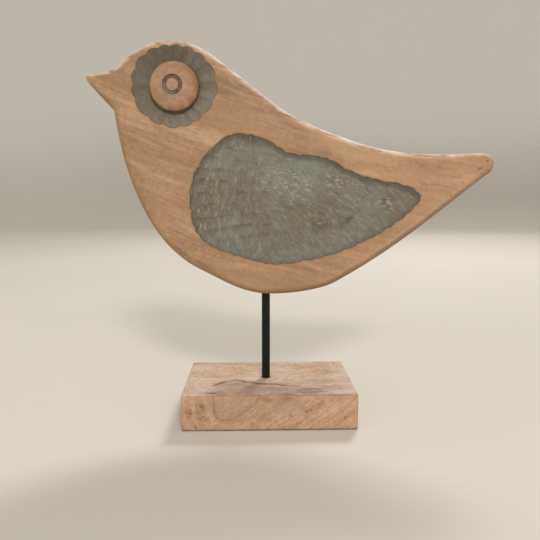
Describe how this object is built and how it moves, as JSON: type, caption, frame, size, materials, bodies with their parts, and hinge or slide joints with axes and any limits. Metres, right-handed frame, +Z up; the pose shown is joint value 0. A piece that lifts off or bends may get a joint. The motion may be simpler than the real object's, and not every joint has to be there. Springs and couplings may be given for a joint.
{
  "type": "carved wooden bird sculpture on stand",
  "caption": "Small bird carved from a thick wooden board, with a gouged grey wing and a fluted eye ring, held on a thin black rod over a rectangular wooden block.",
  "frame": {"origin": "centre of the block's underside, which rests on the surface", "axes": "+Z up; the beak points to -X and the tail to +X; the fully carved front face looks to -Y"},
  "size_m": [0.2784, 0.08, 0.2615],
  "materials": {
    "bird_wood": "matt warm brown wood with a washed, hand-sanded surface",
    "carving_grey": "matt grey stain in the gouged wing and the eye ring, rubbed back on the ridges",
    "pupil_dark": "matt dark brown-grey stain in the pupil groove",
    "rod_black": "black satin paint",
    "block_wood": "matt limewashed wood"
  },
  "bodies": {
    "root": {"bird": "bird_wood", "rod": "rod_black", "block": "block_wood"}
  },
  "joints": []
}
